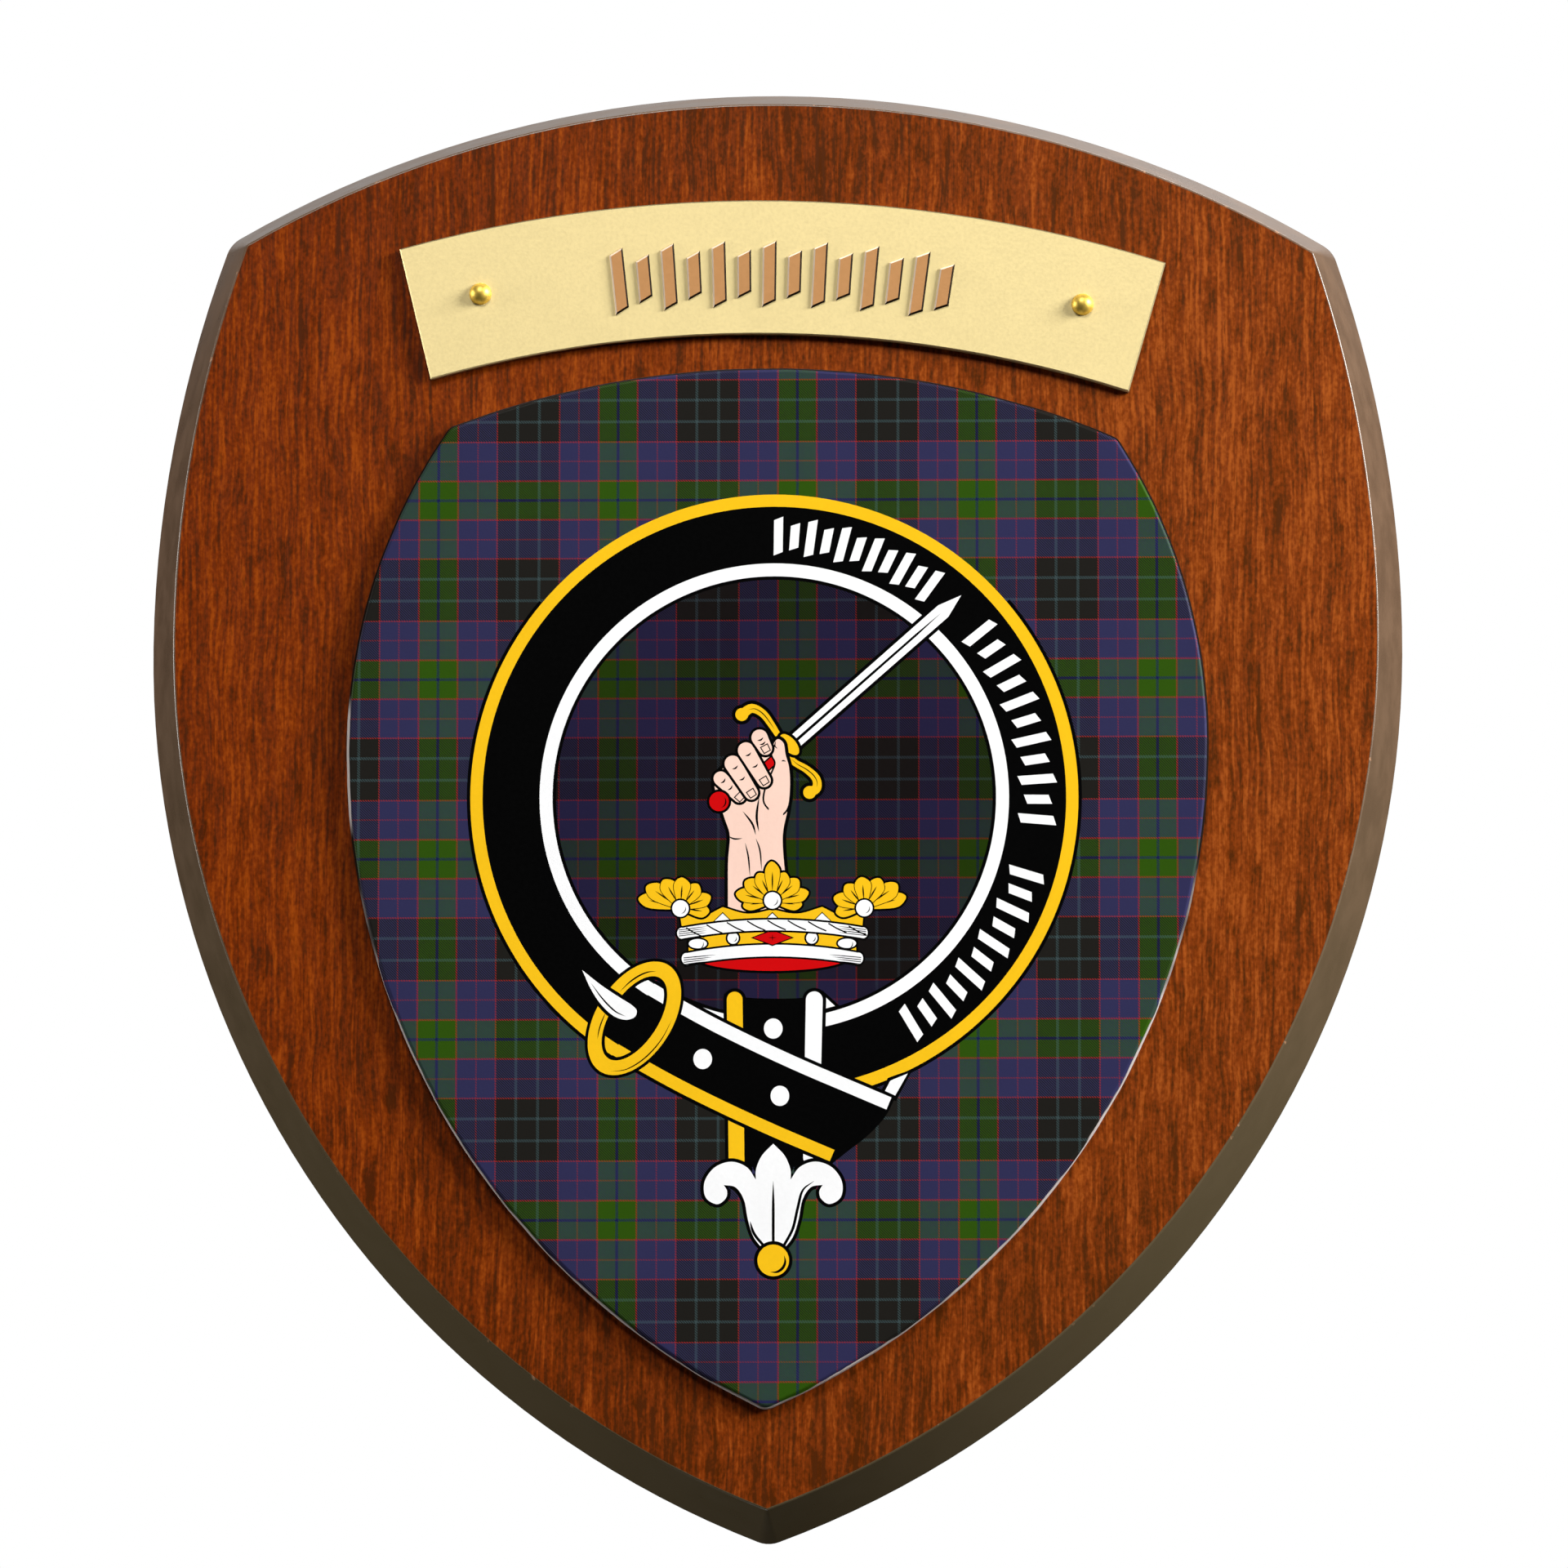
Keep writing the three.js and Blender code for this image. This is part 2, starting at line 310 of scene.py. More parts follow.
def veneer_finish(sizes):
    """Reddish straight-grained veneer under a satin lacquer, a deeper red to the left and darker there
    with painted shade.
    """
    f = Finish("mahogany_veneer")
    x, _, z = f.split(f.place())
    slow = f.noise(f.join(x / 24, 0, z / 50), detail=2)
    curl = f.noise(f.join(x / 5, 7.7, z / 11), detail=1)
    bend = x + (slow - 0.5) * 2.5 + (curl - 0.5) * 1.1

    def streaks(wide, tall, seed, detail=2):
        where = f.join(bend / wide, seed, z / tall + seed)
        return f.noise(where, detail=detail) - 0.5

    fine = streaks(0.42, 20, 3.1) * 0.95 + streaks(0.46, 6, 23.7) * 1.00
    grit = streaks(0.42, 1.9, 31.9) * 0.70 + streaks(0.36, 0.55, 57.3) * 0.85
    medium = streaks(1.3, 15, 17.7) * 0.55 + streaks(5.5, 26, 41.3) * 0.35
    smudge = f.span(streaks(1.9, 5.5, 88.1, 3), 0.03, 0.20, 0, -0.24)
    cloud = f.noise(f.join(x / 6, 5.5, z / 9), detail=3, roughness=0.6) - 0.5
    ends = f.span(z, -80, -150, 0, -0.19) + f.span(z, -5, 22, 0, -0.13)
    tone = 0.52 + fine + grit + medium + smudge + cloud * 0.40 + ends
    dark = sizes.veneer_dark
    base = f.ramp(tone, [(0.10, dark), (0.5, sizes.veneer_mid), (0.92, sizes.veneer_light)])
    # To the left the veneer turns a deeper red in its own tone, and darker with painted shade.
    left_tone_and_shade = f.mix(1.0, base, (0.84, 0.66, 0.25), "MULTIPLY")
    base = f.mix(f.span(x, -75, 60), left_tone_and_shade, base)
    pores = f.span(streaks(0.34, 3.0, 71.9), -0.12, -0.20)
    base = f.mix(pores * 0.5, base, dark)
    f.set(
        Base_Color=base,
        Roughness=f.span(fine, -0.3, 0.3, 0.27, 0.21),
        Normal=f.bump(fine * 0.7 - pores * 0.5, 0.008 * MM),
    )
    return f.material


def edge_finish(sizes):
    """Satin paint, darkened towards the tip by painted shade, and lightly rubbed at the front."""
    f = Finish("edge_paint")
    x, y, z = f.split(f.place())
    mottle = f.noise(f.join(x / 5, y / 5, z / 5), detail=4, roughness=0.6)
    dull, fresh = shade(sizes.edge_paint, 0.88), shade(sizes.edge_paint, 1.12)
    paint = f.mix(f.span(mottle, 0.3, 0.7), dull, fresh)
    # Painted shade: the paint darkens towards the tip.
    paint = f.mix(f.span(z, -30, -120), paint, tuple(sizes.edge_paint_painted_shade))
    front = board_low.y / MM
    rubbed = f.noise(f.join(x / 2.2, 0, z / 2.2), detail=3, roughness=0.7)
    worn = f.span(y, front + 0.55, front + 0.12) * f.span(rubbed, 0.60, 0.68)
    f.set(
        Base_Color=f.mix(worn * 0.8, paint, (0.42, 0.22, 0.12)),
        Roughness=f.span(mottle, 0.3, 0.7, 0.27, 0.34),
        Normal=f.bump(mottle, 0.02 * MM),
    )
    return f.material


def back_finish(sizes):
    """Plain stained back with a faint upright grain."""
    f = Finish("stained_back", Roughness=0.62)
    x, _, z = f.split(f.place())
    grain = f.noise(f.join(x / 0.9, 0, z / 16), detail=4, roughness=0.6)
    patch = f.noise(f.join(x / 22, 3, z / 30), detail=2)
    tone = f.span(grain * 0.7 + patch * 0.3, 0.32, 0.68)
    f.set(
        Base_Color=f.mix(tone, shade(sizes.back_stain, 0.70), shade(sizes.back_stain, 1.30)),
        Normal=f.bump(grain, 0.05 * MM),
    )
    return f.material


def raw_wood_finish(sizes):
    """Bare wood left by the router and the drill."""
    f = Finish("bare_wood", Roughness=0.75)
    x, y, z = f.split(f.place())
    fibre = f.noise(f.join(x / 0.5, y / 0.5, z / 7), detail=4, roughness=0.65)
    f.set(
        Base_Color=f.mix(fibre, shade(sizes.raw_wood, 0.65), shade(sizes.raw_wood, 1.2)),
        Normal=f.bump(fibre, 0.06 * MM),
    )
    return f.material


def badge_place(f, badge):
    """Millimetres from the badge's middle, square to the print."""
    origin = (badge.centre_x, 0, badge.centre_z)
    return f.split(f.place(origin, (0, -badge.turn, 0), (MM, MM, badge.stretch * MM)))


def film(f, colour_input, x, z):
    """The print's satin film: faint mottling and a fine, leathery grain."""
    grain = f.noise(f.join(x / 0.55, 0, z / 0.55), detail=3, roughness=0.6)
    sheet = f.noise(f.join(x / 9, 0, z / 9), detail=2)
    dulling = f.span(sheet * 0.6 + grain * 0.4, 0.3, 0.7, 0, 0.06)
    f.set(
        Base_Color=f.mix(dulling, colour_input, (0, 0, 0)),
        Roughness=f.span(grain, 0.3, 0.7, 0.36, 0.44),
        Normal=f.bump(grain, 0.012 * MM),
    )


def yarn(f, distance, half, t):
    """Colour of one set of threads, by the distance from the middle of the nearest green stripe."""
    line = 0.18
    stops = [
        (0.00, t.navy), (0.16, t.green),
        (2.25, t.red), (2.25 + line, t.blue),
        (4.67, blend(t.blue, t.red, 0.6)), (4.83, t.blue),
        (7.00, t.red), (7.00 + line, t.black),
        (9.38, t.sky), (9.70, t.black),
    ]
    stops = [(at / half, tint) for at, tint in stops]
    return f.ramp(distance / half, stops, steps=True)


def tartan_finish(name, t, badge, plate, light=(1, 1, 1)):
    """Two crossing sets of threads, shown line by line of the twill, and bare at the cut edge: a pale rim
    below, and painted shade as a dark line along the upper edge.
    """
    f = Finish(name, Specular_IOR_Level=0.05)
    x, _, z = badge_place(f, badge)
    half = t.repeat / MM / 2
    warp = yarn(f, x.math("PINGPONG", x - t.green_x / MM, half), half, t)
    weft = yarn(f, z.math("PINGPONG", z - t.green_z / MM, half), half, t)
    over = x.math("GREATER_THAN", x.math("FRACT", (x + z) / (t.twill / MM)), 0.5)
    cloth = f.mix(over, warp, weft)
    cloth = f.mix(1.0, cloth, light, "MULTIPLY")
    _, depth, _ = f.split(f.place())
    wander = f.noise(f.join(x / 7, 0, z / 7), detail=2) - 0.5
    bare_from = (plate_low.y + plate.edge_round - plate.foot) / MM + 0.05
    low = f.span(z + wander * 30, -8, -28)
    tip = f.span(z, -74, -88, 0, 0.32)
    chip_middle = (-53, 0, 4)
    from_chip = f.node("ShaderNodeVectorMath", {"operation": "DISTANCE"}, {
        0: f.join(x, 0, z), 1: chip_middle,
    }, 1)
    chip = f.span(from_chip, 9, 6)
    # Along the upper part the bare band is wider and takes the gap colour as painted shade; below and at
    # the chip it shows the pale rim.
    wear = depth + wander * 0.4 + chip * 0.1 + tip + (1 - low) * 0.12
    bare = f.span(wear, bare_from - 0.06, bare_from)
    side = f.mix(low.math("MAXIMUM", low, chip), tuple(plate.gap), tuple(plate.rim))
    film(f, f.mix(bare, cloth, side), x, z)
    return f.material


def ink_finish(name, rgb, badge):
    f = Finish(name, Specular_IOR_Level=0.03)
    x, _, z = badge_place(f, badge)
    film(f, tuple(rgb), x, z)
    return f.material


def brass_finish(name, rgb, roughness, metallic, speck, specular=0.5):
    """Brass with a fine mottled satin, or polished where the roughness is low."""
    f = Finish(name, Metallic=metallic, Specular_IOR_Level=specular)
    x, y, z = f.split(f.place())
    grain = f.noise(f.join(x / speck, y / speck, z / speck), detail=3, roughness=0.65)
    cloud = f.noise(f.join(x / 6, y / 6, z / 6), detail=3, roughness=0.6)
    tone = f.span(grain * 0.5 + cloud * 0.5, 0.3, 0.7)
    f.set(
        Base_Color=f.mix(tone, shade(rgb, 0.95), rgb),
        Roughness=f.span(grain, 0.3, 0.7, roughness * 0.88, roughness * 1.12),
        Normal=f.bump(grain, 0.006 * MM),
    )
    return f.material


# Mesh helpers

def keep(bm, name, node, materials, sharp=30):
    """Write the mesh as a piece that stands for a node, with edges over the angle kept sharp."""
    for face in bm.faces:
        face.smooth = True
    for edge in bm.edges:
        bent = len(edge.link_faces) == 2 and edge.calc_face_angle(0) > math.radians(sharp)
        edge.smooth = not bent
    mesh = bpy.data.meshes.new(name)
    bm.to_mesh(mesh)
    bm.free()
    for material in materials:
        mesh.materials.append(material)
    piece = bpy.data.objects.new(name, mesh)
    bpy.context.collection.objects.link(piece)
    normals = piece.modifiers.new("Even shading", "WEIGHTED_NORMAL")
    normals.keep_sharp = True
    normals.mode = "FACE_AREA"
    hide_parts(node)
    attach(piece, BODY)
    return piece


def merged_copy(node):
    """A node's mesh with its loose triangles joined and its flat faces made whole."""
    bm = bmesh.new()
    bm.from_mesh(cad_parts[node].data)
    bmesh.ops.remove_doubles(bm, verts=bm.verts, dist=TOUCHING)
    bmesh.ops.dissolve_limit(
        bm, angle_limit=math.radians(0.1), verts=bm.verts, edges=bm.edges,
        use_dissolve_boundaries=False,
    )
    return bm


# Board

def make_board(sizes):
    """Break the board's front edge and give each of its faces its finish."""
    bm = merged_copy("shield_board")
    longest = 8 * MM
    arris = [
        edge for edge in bm.edges
        if all(abs(v.co.y - board_low.y) < LEVEL for v in edge.verts) and edge.calc_length() < longest
        and any(abs(face.normal.z) + abs(face.normal.x) > 0.2 for face in edge.link_faces)
        and not in_pin_hole(edge.verts[0].co)
    ]
    bmesh.ops.bevel(
        bm, geom=arris, offset=sizes.arris, offset_type="WIDTH", segments=3, profile=0.5,
        affect="EDGES", material=-1,
    )
    veneer, edge_paint, back, raw_wood = range(4)
    for face in bm.faces:
        middle = face.calc_center_median()
        if in_pin_hole(middle) and abs(face.normal.y) < 0.9 or in_slot(middle):
            face.material_index = raw_wood
        elif face.normal.y < -0.99:
            face.material_index = veneer
        elif face.normal.y > 0.99:
            face.material_index = back
        else:
            face.material_index = edge_paint
    finishes = [veneer_finish(sizes), edge_finish(sizes), back_finish(sizes), raw_wood_finish(sizes)]
    keep(bm, "veneered_board", "shield_board", finishes)


def in_pin_hole(point):
    return any((Vector(point) - Vector(middle)).xz.length < 1.2 * MM for middle in pin_middles())


def in_slot(point):
    """Inside the keyhole slot, clear of the back's own face."""
    across, up, deep = abs(point.x) / MM, point.z / MM, -point.y / MM
    return across < 5 and -14 < up < 5 and 0.01 < deep < 10


def pin_middles():
    boxes = [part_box(name) for name in ("pin_left", "pin_right")]
    return [(low + high) / 2 for low, high in boxes]


# Flat outlines, in millimetres from the badge's middle

def arc_points(centre, radius, start, stop, steps=24):
    """Points along an ellipse or circle, its angles in degrees."""
    wide, tall = radius if isinstance(radius, tuple) else (radius, radius)
    turns = [math.radians(start + (stop - start) * i / steps) for i in range(steps + 1)]
    return [Vector((centre[0] + wide * math.cos(a), centre[1] + tall * math.sin(a))) for a in turns]


def disc(centre, radius, steps=48):
    return arc_points(centre, radius, 0, 360, steps)[:-1]


def smooth(points, closed=False, steps=6):
    """A smooth line through the points."""
    points = [Vector(p) for p in points]
    if closed:
        points = [points[-1], *points, points[0], points[1]]
    else:
        points = [2 * points[0] - points[1], *points, 2 * points[-1] - points[-2]]
    line = []
    for a, b, c, d in zip(points, points[1:], points[2:], points[3:]):
        for i in range(steps):
            t = i / steps
            line.append(0.5 * (
                2 * b + (c - a) * t + (2 * a - 5 * b + 4 * c - d) * t * t
                + (3 * b - a - 3 * c + d) * t ** 3
            ))
    return line if closed else [*line, points[-2]]


def corners(*runs):
    """A closed outline of smooth runs that meet in corners."""
    outline = []
    for run in runs:
        line = smooth(run) if len(run) > 2 else [Vector(p) for p in run]
        if outline and (outline[-1] - line[0]).length < 1e-6:
            line = line[1:]
        outline.extend(line)
    if (outline[-1] - outline[0]).length < 1e-6:
        outline.pop()
    return outline


def side_normals(line, closed=False):
    """The left-hand normal at each point of a line."""
    normals = []
    last = len(line) - 1
    for i, point in enumerate(line):
        before = line[i - 1] if i or closed else point
        after = line[(i + 1) % len(line)] if i < last or closed else point
        into = (point - before).normalized() if before != point else Vector((0, 0))
        out = (after - point).normalized() if after != point else Vector((0, 0))
        along = (into + out).normalized()
        bend = math.sqrt(max(0, (1 + into.dot(out)) / 2)) if into.length and out.length else 1
        normals.append(Vector((-along.y, along.x)) * (1 / max(0.5, bend)))
    return normals


def signed_area(outline):
    return sum(a.cross(b) for a, b in zip(outline, [*outline[1:], outline[0]])) / 2


def grow(outline, width):
    """The outline moved outward by a width."""
    outward = -1 if signed_area(outline) > 0 else 1
    normals = side_normals(outline, closed=True)
    return [p + n * width * outward for p, n in zip(outline, normals)]


def ribbon(line, low, high):
    """The band between two offsets of a line, each a number or one number for each point."""
    normals = side_normals(line)
    low = low if isinstance(low, list) else [low] * len(line)
    high = high if isinstance(high, list) else [high] * len(line)
    upper = [p + n * w for p, n, w in zip(line, normals, high)]
    lower = [p + n * w for p, n, w in zip(line, normals, low)]
    return [*lower, *reversed(upper)]


def pen_line(points, width, start=0.0, stop=0.0):
    """A pen line through the points, its ends as wide as the given shares of its width."""
    if len(points) > 2:
        line = smooth(points)
    else:
        line = [Vector(points[0]).lerp(Vector(points[1]), i / 6) for i in range(7)]
    last = len(line) - 1
    half = []
    for i in range(len(line)):
        t = i / last
        thinned_in = (1 - start) * (1 - min(1, t / 0.5)) ** 2
        thinned_out = (1 - stop) * (1 - min(1, (1 - t) / 0.5)) ** 2
        half.append(max(0.02, 1 - thinned_in - thinned_out) * width / 2)
    return ribbon(line, [-w for w in half], half)


def capsule(a, b, radius_a, radius_b):
    """A finger-like form with round ends."""
    a, b = Vector(a), Vector(b)
    away = math.degrees(math.atan2(b.y - a.y, b.x - a.x))
    return [
        *arc_points(a, radius_a, away + 90, away + 270, 12),
        *arc_points(b, radius_b, away - 90, away + 90, 12),
    ]


def turned(outline, degrees, origin=(0, 0)):
    turn = Matrix.Rotation(math.radians(degrees), 2)
    return [turn @ Vector(p) + Vector(origin) for p in outline]


def mirrored(outline, x):
    return [Vector((2 * x - p.x, p.y)) for p in reversed(outline)]


class Artwork:
    """Flat shapes in the order in which they are laid on the plate."""

    def __init__(self, pen):
        self.shapes = []
        self.pen = pen

    def fill(self, ink, outline):
        outline = [Vector(p) for p in outline]
        outline = outline if signed_area(outline) > 0 else list(reversed(outline))
        self.shapes.append((ink, outline))

    def line(self, points, width, start=0.0, stop=0.0):
        """A black pen line through the points."""
        self.fill("black", pen_line(points, width, start, stop))

    def inked(self, ink, outline, pen=None):
        """A shape with a black outline round it."""
        outline = [Vector(p) for p in outline]
        self.fill("black", grow(outline, pen or self.pen))
        self.fill(ink, outline)

    def group(self, ink, outlines, pen=None):
        """Shapes that run into each other inside one black outline."""
        for outline in outlines:
            self.fill("black", grow(outline, pen or self.pen))
        for outline in outlines:
            self.fill(ink, outline)


def draw_strap(art, badge):
    """A round strap with a gold outer and a white inner edge, its outline left open at the top."""
    outer = badge.strap_radius / MM
    inner = outer - badge.strap_width / MM
    gold, white, pen = badge.gold_band / MM, badge.white_band / MM, badge.pen / MM
    middle = (-0.08, 0.08)
    open_top = 50
    outside = arc_points(middle, outer + pen, 90 + open_top, 450 - open_top, 150)
    inside = arc_points(middle, outer - 0.3, 450 - open_top, 90 + open_top, 150)
    art.fill("black", [*outside, *inside])
    rings = [
        ("gold", outer), ("black", outer - gold), ("white", inner + white), ("black", inner),
        ("dim_tartan", inner - pen),
    ]
    for ink, radius in rings:
        art.fill(ink, disc(middle, radius, 180))


def draw_strap_strokes(art, badge):
    """Three groups of plain upright strokes along the strap."""
    radius = (badge.strap_radius - badge.strap_width / 2) / MM
    count = badge.strap_strokes
    wide, slant = 1.1, 0.22
    for start, stop in [(91, 52), (41, -7), (-15, -61)]:
        for i in range(count):
            at = start + (stop - start) * (i + 0.5) / count
            tall = 4.3 if i % 2 == 0 else 3.0
            bar = [
                (-wide / 2, -tall / 2 - slant), (wide / 2, -tall / 2 + slant),
                (wide / 2, tall / 2 + slant), (-wide / 2, tall / 2 - slant),
            ]
            art.fill("white", turned([Vector(p) + Vector((0, radius)) for p in bar], at - 90))


def draw_hanging_end(art):
    """The end of the strap that hangs behind the tail."""
    art.fill("black", corners(
        [(-6.15, -23.6), (-5.9, -34), (-5.75, -44.5)],
        [(-5.75, -44.5), (5.7, -44.5)],
        [(5.7, -44.5), (5.8, -34), (6.1, -23.6)],
        [(6.1, -23.6), (3.3, -24.15), (0, -24.25), (-3.4, -24.1), (-6.15, -23.6)],
    ))
    art.inked("white", [(6.0, -24.0), (7.25, -25.15), (5.9, -25.5)])
    art.inked("gold", capsule((-4.85, -24.35), (-4.6, -45), 0.95, 0.95))
    art.inked("white", capsule((4.75, -24.4), (4.35, -43.4), 1.02, 0.95))


def draw_tail(art, badge):
    """The strap's tail from the buckle down to the right."""
    half = badge.strap_width / MM / 2
    gold, white, pen = badge.gold_band / MM, badge.white_band / MM, badge.pen / MM
    art.inked("white", [(16.0, -33.3), (13.9, -34.15), (13.1, -35.7), (14.4, -36.1)])
    line = smooth([
        (-17.05, -26.7), (-13.2, -28.95), (-8.8, -31.33), (-3.46, -33.95),
        (1.78, -36.35), (6.8, -38.5), (12.1, -40.75),
    ])
    edge = ribbon(line, -half - pen, half + pen)
    lower, upper = edge[:len(line)], edge[len(line):]
    while lower[-1].x > 6.4:
        lower.pop()
    end = smooth([(6.6, -44.35), (8.6, -42.75), (11.0, -40.9), (13.2, -38.6), (14.6, -36.0)])
    art.fill("black", [*lower, *end, *upper[1:]])
    art.fill("white", ribbon(line, half - white, half))
    gold_line = [p for p in line if p.x < 9]
    art.fill("gold", ribbon(gold_line, -half, -half + gold))
    for eyelet in [(-0.2, -27.85), (-8.7, -31.5), (0.6, -35.95)]:
        art.fill("white", disc(eyelet, (1.13, 1.22), 28))


def half_hoops(radius_out, radius_in):
    """A ring in two halves, so that what lies behind shows through its hole."""
    for start in (0, 180):
        yield [
            *arc_points((0, 0), radius_out, start, start + 180, 40),
            *arc_points((0, 0), radius_in, start + 180, start, 40),
        ]


def draw_buckle(art, badge):
    """An oval buckle across the strap, with its white prong."""
    middle = Vector((-16.94, -26.58))
    lean = -33.0
    rings = [("black", (4.92, 7.98), (2.48, 5.32)), ("gold", (4.55, 7.60), (2.88, 5.75))]
    for ink, outside, inside in rings:
        for half in half_hoops(outside, inside):
            art.fill(ink, turned(half, lean, middle))
    gleams = [(-75, 20, 0.42, 0.16), (105, 165, 1.2, 0.20), (190, 225, 1.2, 0.16)]
    for start, stop, inset, width in gleams:
        line = arc_points((0, 0), (4.55 - inset, 7.60 - inset), start, stop, 20)
        art.fill("black", turned(pen_line(line[::5], width), lean, middle))
    prong = corners([
        (-23.25, -20.75), (-21.05, -22.5), (-18.75, -24.05), (-17.3, -24.95), (-16.65, -25.7),
        (-17.0, -26.5), (-18.15, -26.75), (-19.6, -26.2), (-21.05, -24.8), (-22.2, -23.05),
        (-23.25, -20.75),
    ])
    art.inked("white", prong)
    art.line([(-22.2, -22.3), (-20.8, -24.2), (-19.3, -25.7), (-18.0, -26.35)], 0.2)


def draw_chape(art):
    """The fleur-shaped end of the strap and its ball."""
    x = -0.2
    left = corners(
        [(0, -41.7), (-1.35, -43.1), (-2.05, -44.7), (-2.1, -46.0)],
        [(-2.1, -46.0), (-3.2, -44.5), (-5.05, -43.85), (-7.0, -44.5), (-8.25, -46.2), (-8.15, -48.1),
         (-6.8, -48.95), (-5.75, -48.3), (-5.55, -47.4), (-5.95, -46.65)],
        [(-5.95, -46.65), (-4.5, -46.95), (-3.5, -48.5), (-3.05, -50.8), (-2.35, -52.9), (-1.2, -54.4)],
    )
    left = [p + Vector((x, 0)) for p in left]
    art.inked("white", [*left, *mirrored(left, x)[:-1]])
    art.line([(x, -46.2), (x, -50), (x, -53.9)], 0.34, 0.05, 1.0)
    art.line([(x - 2.8, -51.0), (x - 2.3, -52.5), (x - 1.1, -54.0)], 0.34, 0.05, 1.0)
    art.line([
        (x + 4.9, -46.2), (x + 3.55, -47.3), (x + 2.95, -49.4), (x + 2.35, -51.9), (x + 1.3, -53.9),
    ], 0.34, 0.05, 1.0)
    ball = (x, -55.7)
    art.fill("black", disc(ball, 2.32))
    art.fill("gold", disc(ball, 1.9))
    art.line(arc_points(ball, 1.45, -105, 25, 4), 0.34)


def bent_band(x, half_width, top, foot, drop, steps=20):
    """A band that arches, its ends a drop below its middle."""
    spots = [half_width * (2 * i / steps - 1) for i in range(steps + 1)]
    fall = [drop * (s / half_width) ** 2 for s in spots]
    upper = [Vector((x + s, top - d)) for s, d in zip(spots, fall)]
    lower = [Vector((x + s, foot - d)) for s, d in zip(spots, fall)]
    return [*lower, *reversed(upper)]


def leaf(base, degrees, long, wide):
    """One lobe of a coronet's leaf, pointed at its root and round at its end."""
    lobe = smooth([
        (0, 0), (long * 0.45, wide * 0.42), (long * 0.8, wide * 0.5), (long, 0.05 * wide),
        (long * 0.8, -wide * 0.5), (long * 0.45, -wide * 0.42),
    ], closed=True)
    return turned(lobe, degrees, base)


def draw_leaf_spray(art, base, lobes):
    """A spray of lobes round a pearl. Each lobe is its angle, length and width."""
    fine, around = 0.18, 0.26
    outlines = [leaf(base, degrees, long, wide) for degrees, long, wide in lobes]
    for outline in outlines:
        art.fill("black", grow(outline, around))
    for (degrees, long, wide), outline in zip(lobes, outlines):
        art.fill("black", grow(outline, fine / 2))
        art.fill("gold", outline)
        vein = turned([(long * t, 0) for t in (0.25, 0.5, 0.75)], degrees, base)
        art.line(vein, fine)


def draw_pearl(art, centre, radius):
    art.inked("white", disc(centre, radius, 28), 0.22)
    reach = radius[0] if isinstance(radius, tuple) else radius
    art.line(arc_points(centre, reach * 0.62, -80, 20, 4), 0.11)


